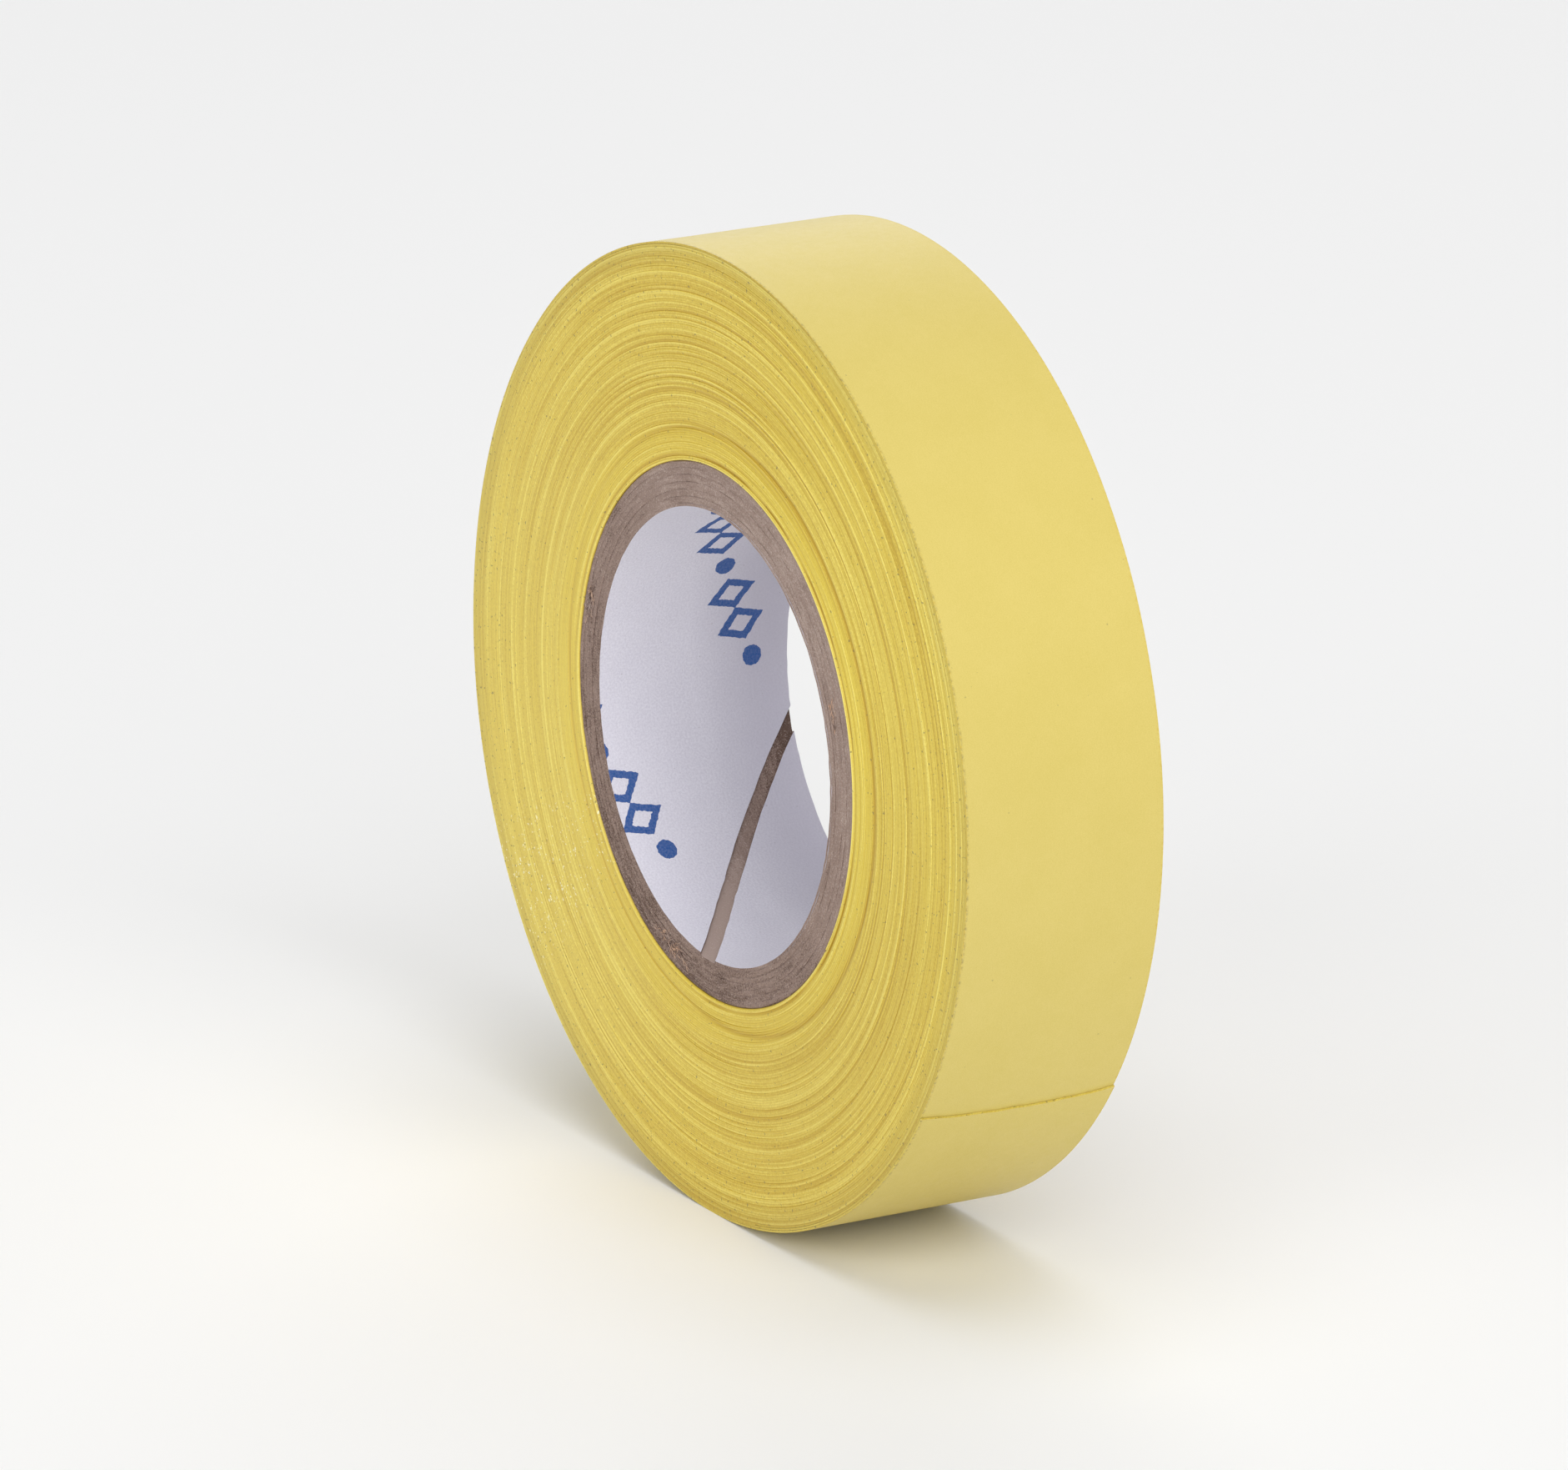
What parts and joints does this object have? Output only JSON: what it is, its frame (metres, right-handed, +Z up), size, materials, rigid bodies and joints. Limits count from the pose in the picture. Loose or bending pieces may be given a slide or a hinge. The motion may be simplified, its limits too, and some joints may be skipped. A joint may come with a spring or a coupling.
{
  "type": "masking tape roll",
  "caption": "Small roll of narrow yellow paper masking tape, wound on a paperboard core with a printed liner. It stands on its tread, and the end of its tape peels up.",
  "frame": {"origin": "centre of the core's bore, half way across the tape's width", "axes": "+Y along the roll's axis, +Z up as the roll stands on its tread, +X towards the quarter where the cut end of the tape lies"},
  "size_m": [0.0543, 0.0122, 0.0545],
  "materials": {
    "tape": "yellow flat paper with a dull silicone release face",
    "core_kraft": "grey-brown kraft paperboard, matt and fibrous",
    "core_liner": "smooth white liner paper with a blue printed pattern"
  },
  "bodies": {
    "roll": {"core_liner": "core_liner", "core_ply_1": "core_kraft", "core_ply_2": "core_kraft", "core_ply_3": "core_kraft", "core_ply_4": "core_kraft", "core_ply_5": "core_kraft", "core_ply_6": "core_kraft", "tape_pack": "tape"},
    "tape_end_1": {"tape_end_1": "tape"},
    "tape_end_2": {"tape_end_2": "tape"},
    "tape_end_3": {"tape_end_3": "tape"},
    "tape_end_4": {"tape_end_4": "tape"},
    "tape_end_5": {"tape_end_5": "tape"},
    "tape_end_6": {"tape_end_6": "tape"}
  },
  "joints": [
    {"name": "tape_end_peel_1", "type": "hinge", "parent": "roll", "child": "tape_end_1", "pos_m": [0.0089, 0, -0.02578], "axis": [0, 1, 0], "range_deg": [0, 10]},
    {"name": "tape_end_peel_2", "type": "hinge", "parent": "tape_end_1", "child": "tape_end_2", "pos_m": [0.01154, 0, -0.02471], "axis": [0, 1, 0], "range_deg": [0, 10]},
    {"name": "tape_end_peel_3", "type": "hinge", "parent": "tape_end_2", "child": "tape_end_3", "pos_m": [0.01406, 0, -0.02337], "axis": [0, 1, 0], "range_deg": [0, 10]},
    {"name": "tape_end_peel_4", "type": "hinge", "parent": "tape_end_3", "child": "tape_end_4", "pos_m": [0.01642, 0, -0.02178], "axis": [0, 1, 0], "range_deg": [0, 10]},
    {"name": "tape_end_peel_5", "type": "hinge", "parent": "tape_end_4", "child": "tape_end_5", "pos_m": [0.01861, 0, -0.01995], "axis": [0, 1, 0], "range_deg": [0, 10]},
    {"name": "tape_end_peel_6", "type": "hinge", "parent": "tape_end_5", "child": "tape_end_6", "pos_m": [0.02059, 0, -0.01789], "axis": [0, 1, 0], "range_deg": [0, 10]}
  ],
  "couplings": [
    {"joint": "tape_end_peel_2", "follows": "tape_end_peel_1", "ratio": 1},
    {"joint": "tape_end_peel_3", "follows": "tape_end_peel_1", "ratio": 1},
    {"joint": "tape_end_peel_4", "follows": "tape_end_peel_1", "ratio": 1},
    {"joint": "tape_end_peel_5", "follows": "tape_end_peel_1", "ratio": 1},
    {"joint": "tape_end_peel_6", "follows": "tape_end_peel_1", "ratio": 1}
  ]
}
